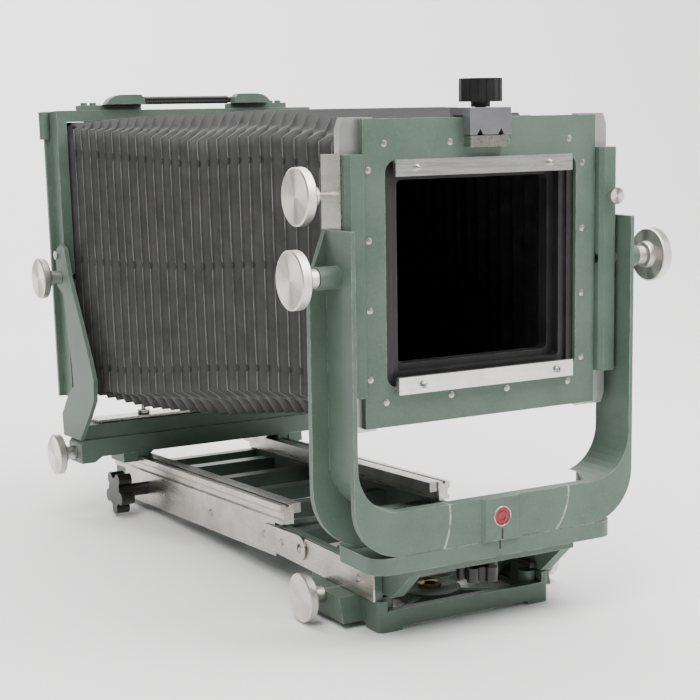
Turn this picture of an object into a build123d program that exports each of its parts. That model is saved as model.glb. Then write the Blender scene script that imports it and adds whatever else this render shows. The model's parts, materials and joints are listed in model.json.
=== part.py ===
from build123d import *
import math
import os

# A flat-bed metal view camera for 8x10 in sheet film. Front faces -Y, width along X, up is +Z.
# While modelling, Y = 0 is the lens panel's front face and Z = 0 is the floor.
# The rear bed hangs back from its fold pivots, so everything behind them is modelled level
# and then turned by the sag angle.

# driving sizes, mm
sag = 2.84                  # how far the rear bed hangs, degrees
fold_y, fold_z = 140.0, 39.0
run = 0.05                  # radial clearance of running fits
gap = 0.3                   # clearance between separate moving pieces

# lens panel and its sliding frame
panel_half, panel_low, panel_high, panel_thick = 100.0, 160.0, 376.0, 6.0
seat_half_x, seat_low, seat_high = 82.0, 188.5, 346.5
board_half_x, board_low, board_high = 70.5, 197.0, 338.0
rail_half, rail_low, rail_high = 115.0, 157.0, 377.0
rail_y0, rail_y1 = 6.0, 13.0

# tilting channels that guide the lens panel
channel_in, channel_out = 100.8, 116.6
channel_low, channel_high = 184.0, 352.0
channel_y0, channel_y1 = -7.0, 27.0
side_plate_out = 118.0
tilt_y, tilt_z = 0.0, 269.0

# yoke
yoke_in, yoke_front_out, yoke_rear_out = 118.4, 121.6, 135.0
yoke_y0, yoke_y1 = -20.0, 20.0
yoke_low, yoke_base_top, yoke_top = 71.0, 103.0, 301.0
yoke_inner_r, yoke_outer_r, yoke_flange_r = 34.0, 38.0, 46.0
yoke_front_thick = 9.0      # the base's front wall; behind it the casting is hollow above its floor
badge_z, badge_r = 89.0, 7.5

# swing base and front carriage
slab_half, slab_y0, slab_y1, slab_low, slab_high = 106.0, -20.0, 40.0, 58.5, 70.7
cheek_in, cheek_out, cheek_low = 62.0, 71.5, 29.6
cheek_y1 = 96.0
swing_y = 8.0

# bed
bed_half, bed_front, bed_seam, bed_rear = 80.0, 27.0, 185.0, 538.0
strip_low, strip_high, strip_thick = 24.0, 52.0, 1.2
beam_in = 72.0
rail_track_top = 68.0
ladder_bar_y, ladder_bar_deep = (187, 262, 337, 412, 487), 16
strip_screw_y, strip_screw_z = (205, 311, 417), 39
block_half, block_y0, block_y1 = 77.0, 24.0, 128.0
front_shaft_y, front_shaft_z = 78.0, 20.0
pinion_r = 9.5

# rear standard
carriage_y0, carriage_y1, carriage_low, carriage_high = 470.0, 504.0, 73.0, 90.0
rear_slab_high = 104.0
upright_in, upright_out = 136.0, 140.0
frame_half, frame_y0, frame_y1, frame_low, frame_high = 141.0, 496.0, 514.0, 129.0, 402.0
rear_tilt_y, rear_tilt_z = 499.0, 245.0
rear_shaft_y, rear_shaft_z = 487.0, 77.55
back_y0, back_y1 = 514.3, 531.0
handle_y, handle_rise, handle_pin_r = 506.0, 9.0, 3.0

# knobs and their spindles
spindle_r = 4.0             # tilt locks of both standards, and the focusing shafts
swing_stem_r = 5.0
swing_pin_y, swing_pin_r = 488.0, 6.0
rise_knob_y, rise_knob_z = 16.8, 324.0
rise_lock_x, rise_lock_z = 108.8, 316.0
bed_knob_y, bed_knob_z = 458.0, 39.5

# bellows: half width, low edge, high edge and corner cut of its sections, from front to rear.
# It swells behind the lens frame, bags downwards in the middle and closes in again at the rear frame.
bellows_front_y, bellows_shoulder_y, bellows_rear_y = 13.3, 17.6, 502.0
bellows_front = (97, 170, 362, 20)
bellows_shoulder = (98, 160, 374, 16)
bellows_middle = (109, 133, 387, 24)
bellows_bag = (118, 126, 391, 14)
bellows_neck = (124, 131, 391, 7)
bellows_rear = (125, 140, 391, 5)
bellows_wall = 3.0          # the folded leather's own thickness, taken as one plain wall


def span(x0, x1, y0, y1, z0, z1):
    # a box given by its two corners
    return Pos((x0 + x1) / 2, (y0 + y1) / 2, (z0 + z1) / 2) * Box(x1 - x0, y1 - y0, z1 - z0)


def both(shape):
    # the shape and its mirror image on the other side of the camera
    return [shape, mirror(shape, Plane.YZ)]


def pair_span(x0, x1, y0, y1, z0, z1):
    return both(span(x0, x1, y0, y1, z0, z1))


def rod(x0, x1, y, z, r):
    # a round bar along X
    return Pos((x0 + x1) / 2, y, z) * Rot(0, 90, 0) * Cylinder(r, x1 - x0)


def rod_y(x, y0, y1, z, r):
    return Pos(x, (y0 + y1) / 2, z) * Rot(90, 0, 0) * Cylinder(r, y1 - y0)


def rod_z(x, y, z0, z1, r):
    return Pos(x, y, (z0 + z1) / 2) * Cylinder(r, z1 - z0)


def closed_face(points, plane):
    # a flat face from its corner points, leaving out repeated ones
    kept = [p for k, p in enumerate(points) if k == 0 or math.dist(p, points[k - 1]) > 1e-6]
    return make_face(plane * Polyline(*kept, close=True))


def turned(profile, x, y, z):
    # a turned piece along +X from a profile of (distance along X, radius) points
    points = [(0, profile[0][0])] + [(r, a) for a, r in profile] + [(0, profile[-1][0])]
    face = closed_face(points, Plane.XY)
    body = revolve(Plane.XZ * face, Axis.Z)
    return Pos(x, y, z) * Rot(0, 90, 0) * body


def clamp_knob(radius, x_face, x_hub, x_end, shaft_r, y, z):
    # a flat turned knob with a dished face, a stepped hub and a plain shaft, pointing out along +X
    thick = radius * 0.42
    rim = x_face - thick
    profile = [(x_end, shaft_r), (x_hub, shaft_r), (x_hub, radius * 0.33), (rim - 5, radius * 0.33),
               (rim - 4, radius * 0.46), (rim, radius * 0.5), (rim + 0.4, radius - 1.0),
               (rim + 1.4, radius), (x_face - 1.2, radius), (x_face - 0.4, radius - 1.0), (x_face - 0.9, 0.01)]
    return turned(profile, 0, y, z)


def lobed(radius, height, lobes):
    # a moulded hand knob: a round core with rounded lobes around it
    core = Cylinder(radius * 0.66, height)
    for k in range(lobes):
        angle = 2 * math.pi * k / lobes
        place = Pos(radius * 0.72 * math.cos(angle), radius * 0.72 * math.sin(angle), 0)
        core = core + place * Cylinder(radius * 0.28, height)
    return core


def rounded_plate(x_half, z0, z1, y0, y1, corner):
    # an upright rectangular plate with rounded corners
    sketch = Plane.XZ.offset(-y0) * Pos(0, (z0 + z1) / 2) * RectangleRounded(2 * x_half, z1 - z0, corner)
    return extrude(sketch, amount=-(y1 - y0))


def outline_x(points, x0, x1):
    # a flat profile of (y, z) points given thickness along X
    return extrude(closed_face(points, Plane.YZ.offset(x0)), amount=x1 - x0)


def outline_y(points, y0, y1):
    # a flat profile of (x, z) points given thickness along Y
    return extrude(closed_face(points, Plane.XZ.offset(-y0)), amount=-(y1 - y0))


def outline_z(points, z0, z1):
    return extrude(closed_face(points, Plane.XY.offset(z0)), amount=z1 - z0)


def arc_points(cx, cz, r, start, end, steps=10):
    # points along an arc, angles in degrees
    angles = [math.radians(start + (end - start) * k / steps) for k in range(steps + 1)]
    return [(cx + r * math.cos(a), cz + r * math.sin(a)) for a in angles]


def screws_y(places, y0, y1, r):
    # a group of alike screw heads pointing forwards
    return [rod_y(x, y0, y1, z, r) for x, z in places]


nodes = {}


def keep(name, shape):
    # one named piece, or several alike pieces kept in one node
    nodes[name] = Compound(children=shape) if isinstance(shape, list) else shape


# ---------------------------------------------------------------- front bed and tripod block
def build_block():
    wall = 7.0
    floor_z, top_z = 3.0, strip_low
    rail_top = 16.0
    side = span(block_half - wall, block_half, block_y0, block_y1, floor_z, top_z)
    block = side + mirror(side, Plane.YZ)
    block = block + span(-block_half, block_half, block_y0, block_y0 + wall, floor_z, rail_top)
    block = block + span(-block_half, block_half, block_y1 - wall, block_y1, floor_z, rail_top)
    middle_y = (block_y0 + block_y1) / 2
    length = 2 * math.hypot(block_half - wall, middle_y - block_y0 - wall / 2)
    angle = math.degrees(math.atan2(middle_y - block_y0 - wall / 2, block_half - wall))
    for turn in (angle, -angle):
        block = block + Pos(0, middle_y, (floor_z + 9) / 2) * Rot(0, 0, turn) * Box(length, 6, 9 - floor_z)
    block = block + rod_z(0, middle_y, floor_z, 11.0, 24)
    for x in (-block_half + 12, block_half - 12):
        for y in (block_y0 + 13, block_y1 - 13):
            block = block + rod_z(x, y, floor_z, top_z, 6.5)
            block = block - rod_z(x, y, 12, top_z + 1, 2.5)
    for x in (-block_half + 10, block_half - 10):
        for y in (block_y0 + 10, block_y1 - 10):
            block = block + span(x - 10, x + 10, y - 10, y + 10, 0, floor_z)
    # side lugs that carry the focusing shaft
    lug = outline_x([(46, 5), (110, 5), (104, 23.5), (52, 23.5)], block_half, 95.0)
    block = block + lug + mirror(lug, Plane.YZ)
    block = block - rod(-120, 120, front_shaft_y, front_shaft_z, 4.0 + run)
    for side in (-1, 1):
        block = block - Pos(side * 66.5, front_shaft_y, 20) * Box(12.4, 24, 24)
    block = block - rod_z(0, middle_y, 0, 20, 9.0)
    corner = [e for e in block.edges().filter_by(Axis.Z)
              if abs(abs(e.center().X) - block_half) < 0.1 and abs(e.center().Y - block_y0) < 0.1]
    block = fillet(corner, 5.0)
    keep("tripod_block", block)
    bush = rod_z(0, middle_y, 3.0, 14.0, 9.0) - rod_z(0, middle_y, 2, 15, 4.76)
    keep("tripod_bush", bush)


def build_front_bed():
    beam_low, beam_high = strip_low, 48.5
    outer = bed_half - strip_thick
    beam = span(beam_in, outer, bed_front + 1, bed_seam - 2, beam_low, beam_high)
    keep("front_side_beams", both(beam))
    strip = span(outer, bed_half, bed_front, bed_seam - 1, strip_low + 0.2, strip_high - 4.5)
    keep("front_side_strips", both(strip))
    bars = [span(-beam_in, beam_in, y, y + 14, 30, 44) for y in (bed_seam - 18,)]
    bars.append(span(-beam_in, beam_in, 108, 120, strip_low + 0.2, 28.6))
    keep("front_cross_bars", bars)
    heads = []
    for side in (-1, 1):
        for y, z, r in ((50, 37, 3.4), (fold_y, fold_z, 4.0)):
            x0, x1 = (bed_half, bed_half + 1.6) if y < 100 else (bed_half, bed_half + 3.4)
            heads.append(rod(min(side * x0, side * x1), max(side * x0, side * x1), y, z, r))
    keep("front_bed_screws", heads)


def build_front_focus():
    knob_face, knob_hub = 115.0, 95.4
    knob = clamp_knob(18.5, knob_face, knob_hub, knob_hub, 6.0, front_shaft_y, front_shaft_z)
    knob = knob - rod(knob_hub - 1, 105, front_shaft_y, front_shaft_z, 4.0)
    keep("front_focus_knobs", both(knob))
    shaft = rod(-105, 105, front_shaft_y, front_shaft_z, 4.0)
    for side in (-1, 1):
        shaft = shaft + rod(side * 66.75 - 4.5, side * 66.75 + 4.5, front_shaft_y, front_shaft_z, pinion_r)
    keep("front_focus_shaft", shaft)


# ---------------------------------------------------------------- front carriage, swing base and yoke
def build_front_carriage():
    cheek = outline_x([(-14, slab_low), (-14, slab_low - 4), (14, cheek_low), (cheek_y1, cheek_low),
                       (cheek_y1, 50), (52, 50), (42, slab_low)], cheek_in, cheek_out)
    deck = span(-cheek_out, cheek_out, -14, 42, slab_low - 6, slab_low)
    body = cheek + mirror(cheek, Plane.YZ) + deck
    body = body - rod_z(0, swing_y, 40, 60, swing_stem_r + run)
    keep("front_carriage", body)
    shoe = span(cheek_in - 6, cheek_in, 20, 92, cheek_low + 1, cheek_low + 5)
    keep("front_shoes", both(shoe))
    slab = Pos(0, (slab_y0 + slab_y1) / 2, slab_low) * extrude(
        RectangleRounded(2 * slab_half, slab_y1 - slab_y0, 13), amount=slab_high - slab_low)
    slab = slab - rod_z(0, swing_y, slab_low - 1, slab_high + 1, swing_stem_r + run)
    keep("swing_slab", slab)


def build_swing_knob():
    knob = Pos(0, swing_y, 40.5) * lobed(16.5, 11, 5)
    stem = rod_z(0, swing_y, 46, slab_low - 6.3, 7.5) + rod_z(0, swing_y, slab_low - 7, slab_high + 6, swing_stem_r)
    keep("swing_star_knob", knob + stem)


def yoke_region(inner, outer, low, base_top, r_in, r_out, top):
    # the U-shaped region between an inner and an outer outline, as (x, z) points of its right half
    outer_pts = [(0, low), (outer - r_out, low)]
    outer_pts += arc_points(outer - r_out, low + r_out, r_out, -90, 0)
    outer_pts += [(outer, top)]
    inner_pts = [(inner, top)] + arc_points(inner - r_in, base_top + r_in, r_in, 0, -90) + [(0, base_top)]
    return outer_pts + inner_pts


def build_yoke():
    wall = yoke_front_out - yoke_in
    top_flat = yoke_top - 4
    face = yoke_region(yoke_in, yoke_front_out, yoke_low, yoke_base_top, yoke_inner_r, yoke_outer_r, top_flat)
    front = outline_y(face, yoke_y0, yoke_y0 + 5)
    inner = yoke_region(yoke_in, yoke_in + wall, yoke_base_top - wall, yoke_base_top,
                        yoke_inner_r, yoke_inner_r + wall, yoke_top)
    web = outline_y(inner, yoke_y0, yoke_y1)
    rear = outline_y([(0, yoke_low), (yoke_rear_out - yoke_flange_r, yoke_low)]
                     + arc_points(yoke_rear_out - yoke_flange_r, yoke_low + yoke_flange_r, yoke_flange_r, -90, 0)
                     + [(yoke_rear_out, tilt_z - 4), (yoke_in + wall, yoke_top), (yoke_in, yoke_top)]
                     + arc_points(yoke_in - yoke_inner_r, yoke_base_top + yoke_inner_r, yoke_inner_r, 0, -90)
                     + [(0, yoke_base_top)], yoke_y1 - 5, yoke_y1)
    floor = span(0, yoke_front_out - yoke_outer_r, yoke_y0, yoke_y1, yoke_low, yoke_low + 4)
    boss = rod(yoke_in, yoke_rear_out + 3, tilt_y, tilt_z, 8.0)
    half = front + web + rear + floor + boss
    body = half + mirror(half, Plane.YZ)
    hollow = outline_z([(-100, yoke_y1 + 1), (-84, yoke_y0 + yoke_front_thick), (84, yoke_y0 + yoke_front_thick),
                        (100, yoke_y1 + 1)], yoke_low + 4, yoke_base_top + 1)
    body = body - hollow
    centre = outline_z([(-17, yoke_y0), (17, yoke_y0), (14, yoke_y0 - 3), (-14, yoke_y0 - 3)],
                       yoke_low + 0.3, yoke_base_top)
    body = body + centre
    body = body - rod(-160, 160, tilt_y, tilt_z, spindle_r + run)
    body = body - rod_z(0, swing_y, yoke_low - 1, yoke_low + 5, swing_stem_r + run)
    body = body - rod_y(0, yoke_y0 - 4, yoke_y0 - 2, badge_z, badge_r + 0.1)
    keep("yoke", body)
    keep("yoke_badge", rod_y(0, yoke_y0 - 3.6, yoke_y0 - 2, badge_z, badge_r))


def build_front_knobs():
    for name, side in (("left", -1), ("right", 1)):
        knob = clamp_knob(20.5, 159, 138.4, 117.0, spindle_r, tilt_y, tilt_z)
        knob = knob if side > 0 else mirror(knob, Plane.YZ)
        keep("tilt_knob_" + name, knob)
    rise = clamp_knob(20.2, 145, 128, 112.0, 2.6, rise_knob_y, rise_knob_z)
    keep("rise_knob", mirror(rise, Plane.YZ))
    lock = rod_y(rise_lock_x, -16, -12, rise_lock_z, 6.2) + rod_y(rise_lock_x, -12, -5.5, rise_lock_z, 3.0)
    keep("rise_lock_knob", lock)


# ---------------------------------------------------------------- channels and lens panel
def build_channels():
    bevel = 3.0
    shape = outline_z([(channel_in, channel_y0 + bevel), (channel_in + bevel, channel_y0),
                       (channel_out - bevel, channel_y0), (channel_out, channel_y0 + bevel),
                       (channel_out, channel_y1), (channel_in, channel_y1)], channel_low, channel_high)
    slot = span(channel_in - 1, rail_half + gap, rail_y0 - gap, rail_y1 + gap, channel_low - 1, channel_high + 1)
    shape = shape - slot
    shape = shape - rod(channel_in - 1, 120, tilt_y, tilt_z, 4.0 + run)
    left = mirror(shape, Plane.YZ) - rod(-125, -111, 16.8, 324.0, 2.6 + run)
    right = shape - rod_y(108.8, -10, -5, 316.0, 3.0 + run)
    keep("channels", [left, right])
    plate = span(channel_out, side_plate_out, 0.0, channel_y1, channel_low, channel_high)
    plate = plate - rod(110, 120, tilt_y, tilt_z, 4.0 + run)
    left_plate = mirror(plate, Plane.YZ) - rod(-125, -111, 16.8, 324.0, 2.6 + run)
    keep("channel_side_plates", [left_plate, plate])


def build_lens_panel():
    panel = span(-panel_half, panel_half, 0, panel_thick, panel_low, panel_high)
    opening = rounded_plate(seat_half_x + 0.4, seat_low - 0.4, seat_high + 0.4, -1, panel_thick + 1, 8)
    panel = panel - opening
    keep("lens_panel", panel)
    rail = outline_y([(88, rail_low), (rail_half - 3, rail_low), (rail_half, rail_low + 8),
                      (rail_half, rail_high - 8), (rail_half - 3, rail_high), (88, rail_high)], rail_y0, rail_y1)
    keep("lens_rails", both(rail))
    step_y = 3.0
    seat = rounded_plate(seat_half_x, seat_low, seat_high, step_y, rail_y1, 8)
    seat = seat - rounded_plate(76.2, 191.3, 343.7, step_y - 1, step_y + 2.5, 4)
    seat = seat - rounded_plate(board_half_x, board_low, board_high, step_y - 1, rail_y1 + 1, 4)
    keep("lens_seat", seat)
    throat = rounded_plate(board_half_x + 5, board_low - 5, board_high + 5, rail_y1, rail_y1 + 10, 4)
    throat = throat - rounded_plate(board_half_x - 5, board_low + 5, board_high - 5, rail_y1 - 1, rail_y1 + 11, 4)
    keep("bellows_front_frame", throat)
    places = []
    for x in (-83.2, -28.7, 20.0, 75.6):
        places += [(x, panel_high - 17), (x, panel_low + 18)]
    for x in (-96.0, 88.0):
        places += [(x, panel_high - 35 - 48.6 * k) for k in range(4)]
    bar_screws = screws_y([(x, 189.1) for x in (-56, 61)], -9.5, -6.0, 2.6)
    keep("panel_screws", screws_y(places, -0.7, 0.0, 2.4) + bar_screws)
    bottom = span(-76, 76, -6.0, -1.5, 183.0, 195.2)
    foot = span(-76, 76, -1.5, 0.0, 183.0, 187.8)
    keep("retainer_bar_bottom", bottom + foot)
    keep("retainer_bar_top", span(-76, 76, -4.0, -0.2, 336.0, 347.8))
    head = [(x, 341.9) for x in (-59, 55)]
    keep("top_bar_screws", screws_y(head, -7.5, -4.0, 2.6))


def build_clamp():
    body = span(-17.5, 17.5, -9.0, 17.0, 363.5, 382.5)
    body = body - span(-18, 18, -0.2, panel_thick + 7.2, 362, 377.2)
    for x in (-9, 9):
        notch = outline_y([(x - 3, 363), (x + 3, 363), (x, 368)], -10, -0.1)
        body = body - notch
    body = body - rod_z(0, 4, 370, 390, 4.0 + run)
    keep("accessory_clamp", body)
    plate = span(-16.5, 16.5, -8.0, -0.2, 354.8, 362.8)
    keep("accessory_plate", plate)
    knob = rod_z(0, 4, 386.5, 403, 15.5)
    for k in range(16):
        angle = 2 * math.pi * k / 16
        knob = knob - rod_z(16.4 * math.cos(angle), 4 + 16.4 * math.sin(angle), 386, 404, 1.9)
    knob = knob + rod_z(0, 4, 382.8, 386.5, 7.0) + rod_z(0, 4, 377.6, 383, 4.0)
    keep("accessory_clamp_knob", knob)


# ---------------------------------------------------------------- rear bed, modelled level
def build_rear_bed():
    outer = bed_half - strip_thick
    beam = span(beam_in, outer, bed_seam + 1, bed_rear, strip_low, strip_high)
    keep("rear_side_beams", both(beam))
    strip = span(outer, bed_half, bed_seam, 511, strip_low - 0.3, strip_high)
    keep("rear_side_strips", both(strip))
    track = outline_y([(70, strip_high), (80.4, strip_high), (80.4, 55), (79, 56.5), (79, 61), (81.6, 63),
                       (81.6, rail_track_top), (70, rail_track_top)], 170, bed_rear)
    track = track - span(74, 77, 169, bed_rear + 1, rail_track_top - 2, rail_track_top + 1)
    keep("rear_tracks", both(track))
    rack = span(62.3, 70, 172, bed_rear - 2, 60, rail_track_top - 0.02)
    keep("rear_racks", both(rack))
    bars = [span(-beam_in, beam_in, y, y + ladder_bar_deep, 34, 47) for y in ladder_bar_y]
    bars.append(span(-beam_in, beam_in, bed_rear - 12, bed_rear, strip_low + 1, 50))
    keep("rear_cross_bars", bars)
    plate = outline_x([(fold_y, 49.0)] + [(p, q) for p, q in arc_points(fold_y, fold_z, 10, 90, 270)]
                      + [(fold_y, 29.0), (186, 29.0), (186, 49.0)], bed_half + gap, bed_half + 2.0)
    plate = plate - rod(bed_half - 1, 90, fold_y, fold_z, 4.0 + run)
    tab = span(bed_half, bed_half + gap, bed_seam + 0.3, 200, 29, 49)
    ear = plate + tab + span(bed_half, bed_half + 2.0, bed_seam + 0.3, 200, 29, 49)
    keep("fold_plates", both(ear))
    heads = []
    for side in (-1, 1):
        for y in strip_screw_y:
            near, far = side * bed_half, side * (bed_half + 1.6)
            heads.append(rod(min(near, far), max(near, far), y, strip_screw_z, 3.4))
        near, far = side * (bed_half + 2.0), side * (bed_half + 3.2)
        heads.append(rod(min(near, far), max(near, far), 171, 38, 3.0))
    keep("rear_bed_screws", heads)


def build_bed_knob():
    knob = Pos(-107, bed_knob_y, bed_knob_z) * Rot(0, 90, 0) * lobed(21, 13, 5)
    spindle = rod(-100.5, -bed_half - gap, bed_knob_y, bed_knob_z, 6.2)
    keep("bed_star_knob", knob + spindle)


# ---------------------------------------------------------------- rear standard, modelled level
def build_rear_carriage():
    bore = rod(-170, 170, rear_shaft_y, rear_shaft_z, spindle_r + run)
    beam = span(-136, 136, carriage_y0, carriage_y1, carriage_low, carriage_high)
    end = outline_y([(118, carriage_low), (126, carriage_low - 5), (139, carriage_low - 5),
                     (139, carriage_high - 4), (136, carriage_high), (118, carriage_high)], carriage_y0, carriage_y1)
    beam = beam + end + mirror(end, Plane.YZ) - bore
    for side in (-1, 1):
        beam = beam - Pos(side * 66.2, rear_shaft_y, carriage_low + 7.5) * Box(9.4, 22, 17.4)
    keep("rear_carriage", beam)
    shoe = span(71, 81.4, carriage_y0 + 1, carriage_y1 - 1, rail_track_top + gap, carriage_low)
    guide = span(82.0, 97, carriage_y0, carriage_y1 - 1, 64, carriage_low)
    keep("rear_shoes", both(shoe + guide + span(81, 82.2, carriage_y0 + 1, carriage_y1 - 1, 70, carriage_low)))


def build_rear_focus():
    knob = clamp_knob(19, 161, 139.4, 139.4, 6.0, rear_shaft_y, rear_shaft_z)
    knob = knob - rod(138, 150, rear_shaft_y, rear_shaft_z, 4.0)
    keep("rear_focus_knobs", both(knob))
    shaft = rod(-150, 150, rear_shaft_y, rear_shaft_z, spindle_r)
    for side in (-1, 1):
        shaft = shaft + rod(side * 66.2 - 3.8, side * 66.2 + 3.8, rear_shaft_y, rear_shaft_z, 9.5)
    keep("rear_focus_shaft", shaft)


def build_rear_swing():
    slab = span(-upright_in, upright_in, 472, 504, carriage_high + gap, rear_slab_high)
    slab = slab - rod_z(0, swing_pin_y, 80, 110, swing_pin_r + run)
    keep("rear_swing_slab", slab)
    top = span(-118, 118, 478, 504, rear_slab_high, rear_slab_high + 3)
    top = top - rod_z(0, swing_pin_y, 80, 120, swing_pin_r + run)
    keep("rear_top_plate", top)
    keep("rear_swing_pin", rod_z(0, swing_pin_y, carriage_high, rear_slab_high + 3, swing_pin_r)
         + rod_z(0, swing_pin_y, rear_slab_high + 3.2, rear_slab_high + 6, 11.0))
    nuts = [rod_z(x, 490, rear_slab_high + 3, rear_slab_high + 7, 6) + rod_z(x, 490, 108, 117, 2.2)
            for x in (-66, 66)]
    keep("rear_lock_nuts", nuts)
    side = outline_x([(470, 91), (515, 91), (516, 112), (497, 131), (479, 142), (481, 165), (486, 190),
                      (493, 228), (508, 236), (509, 262), (505, 272), (494, 276), (484, 272), (481, 262),
                      (476, 246), (431, 166), (425, 152), (427, 133), (443, 116)], upright_in, upright_out)
    side = side - rod(130, 145, rear_tilt_y, rear_tilt_z, spindle_r + run)
    keep("rear_uprights", both(side))


def build_rear_frame():
    frame = span(-135.6, 135.6, frame_y0, frame_y1, frame_low, frame_high)
    inner = span(-126, 126, frame_y0 - 1, frame_y1 + 1, 139, 392)
    frame = frame - inner
    flange = span(135.5, frame_half, 517.0, frame_y1 + 7, frame_low, frame_high)
    flange = flange + span(127.0, 135.7, frame_y1 - 0.1, frame_y1 + 7, frame_low, frame_high)
    frame = frame + flange + mirror(flange, Plane.YZ)
    lug = rod_z(frame_half - 1, 519, frame_high - 26, frame_high, 5)
    frame = frame + lug + mirror(lug, Plane.YZ)
    frame = frame - rod(-150, 150, rear_tilt_y, rear_tilt_z, spindle_r + run)
    keep("rear_frame", frame)


def build_rear_knobs():
    for name, side in (("left", -1), ("right", 1)):
        knob = clamp_knob(19, 162.5, 140.4, 128.0, spindle_r, rear_tilt_y, rear_tilt_z)
        knob = knob if side > 0 else mirror(knob, Plane.YZ)
        keep("rear_tilt_knob_" + name, knob)
    pins = [rod(min(s * 140.0, s * 141.6), max(s * 140.0, s * 141.6), 506, 266, 4.2) for s in (-1, 1)]
    keep("upright_screws", pins)


def build_handle():
    bracket = span(48, 110, 499, 513, frame_high, frame_high + 5)
    hump = outline_y([(48, frame_high + 5), (49, frame_high + 11), (52, frame_high + 14), (73, frame_high + 14),
                      (79, frame_high + 12.8), (84, frame_high + 10), (88, frame_high + 5)], 500, 512)
    bracket = bracket + hump - rod(40, 60, handle_y, frame_high + handle_rise, handle_pin_r)
    studs = [rod_z(s * x, handle_y, frame_high + 5, frame_high + 7.5, 3.2) for s in (-1, 1) for x in (95, 104)]
    keep("handle_brackets", both(bracket) + studs)
    pin = rod(-60, 60, handle_y, frame_high + handle_rise, handle_pin_r)
    grip = rod(-47.5, 47.5, handle_y, frame_high + handle_rise, 4.0)
    keep("handle_bar", pin + grip)


def build_back():
    half, low, high = 125.6, 139.4, 391.6
    frame = span(-half, half, back_y0, back_y1, low, high)
    frame = frame - span(-102, 102, back_y0 - 1, back_y1 + 1, 163, 368)
    frame = frame - span(-106, 106, back_y0 + 6, back_y0 + 9.2, 159, 372)
    keep("ground_glass_frame", frame)
    glass = span(-105.8, 105.8, back_y0 + 6.1, back_y0 + 9.1, 159.2, 371.8)
    keep("ground_glass", glass)
    springs = []
    for side in (-1, 1):
        blade = span(side * 114 - 6, side * 114 + 6, back_y1, back_y1 + 1.2, 175, 356)
        foot = [span(side * 114 - 6, side * 114 + 6, back_y1 + 1.2, back_y1 + 3.0, z, z + 12) for z in (175, 344)]
        springs.append(blade + foot[0] + foot[1])
    keep("back_springs", springs)
    catches = [span(side * 40 - 9, side * 40 + 9, back_y1, back_y1 + 4, 378, 388) for side in (-1, 1)]
    keep("back_catches", catches)


# ---------------------------------------------------------------- bellows
def bellows_section(sizes, inset):
    # the eight corners of a cross-section, as (x, z), drawn in by the inset
    half, low, high, corner = sizes
    half, low, high = half - inset, low + inset, high - inset
    x0, x1 = half, half - corner
    return [(x0, low + corner), (x0, high - corner), (x1, high), (-x1, high),
            (-x0, high - corner), (-x0, low + corner), (-x1, low), (x1, low)]


def sag_point(x, y, z):
    # a point of the level rear half after the bed has hung down
    angle = math.radians(-sag)
    dy, dz = y - fold_y, z - fold_z
    return (x, fold_y + dy * math.cos(angle) - dz * math.sin(angle),
            fold_z + dy * math.sin(angle) + dz * math.cos(angle))


def build_bellows():
    def skin(inset, extra):
        level = [(bellows_front_y - extra, bellows_front), (bellows_shoulder_y, bellows_front),
                 (30.0, bellows_shoulder)]
        drooping = [(250.0, bellows_middle), (400.0, bellows_bag), (485.0, bellows_neck),
                    (frame_y0 - 0.5, bellows_rear), (bellows_rear_y + extra, bellows_rear)]
        sections = [[(x, y, z) for x, z in bellows_section(sizes, inset)] for y, sizes in level]
        sections += [[sag_point(x, y, z) for x, z in bellows_section(sizes, inset)] for y, sizes in drooping]
        faces = [make_face(Polyline(*points, close=True)) for points in sections]
        tube = loft(faces[:2], ruled=True)
        for start, end in zip(faces[1:-1], faces[2:]):
            tube = tube + loft([start, end], ruled=True)
        return tube
    outer = skin(0, 0)
    inner = skin(bellows_wall, 1.0)
    inside = span(-76, 76, rail_y1 - 2, rail_y1 + 10.4, 191, 344)
    keep("bellows", outer - inner - inside)


def main():
    build_block()
    build_front_bed()
    build_front_focus()
    build_front_carriage()
    build_swing_knob()
    build_yoke()
    build_front_knobs()
    build_channels()
    build_lens_panel()
    build_clamp()
    level = set(nodes)
    build_rear_bed()
    build_bed_knob()
    build_rear_carriage()
    build_rear_focus()
    build_rear_swing()
    build_rear_frame()
    build_rear_knobs()
    build_handle()
    build_back()
    fold_axis = Axis((0, fold_y, fold_z), (1, 0, 0))
    for name in list(nodes):
        if name not in level:
            nodes[name] = nodes[name].rotate(fold_axis, -sag)
    build_bellows()
    boxes = [shape.bounding_box() for shape in nodes.values()]
    low = [min(getattr(b.min, k) for b in boxes) for k in "XYZ"]
    high = [max(getattr(b.max, k) for b in boxes) for k in "XYZ"]
    shift = Location((-(low[0] + high[0]) / 2, -(low[1] + high[1]) / 2, -low[2]))
    os.makedirs("parts", exist_ok=True)
    for name, shape in nodes.items():
        export_step(shape.moved(shift), "parts/" + name + ".step")
    print("origin moved by", [round(v, 4) for v in shift.position])
    print("size", [round(h - l, 2) for l, h in zip(low, high)], "nodes", len(nodes))


main()
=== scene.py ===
import json
import math
import bmesh
import bpy
import numpy as np
from mathutils import Matrix, Vector


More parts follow.
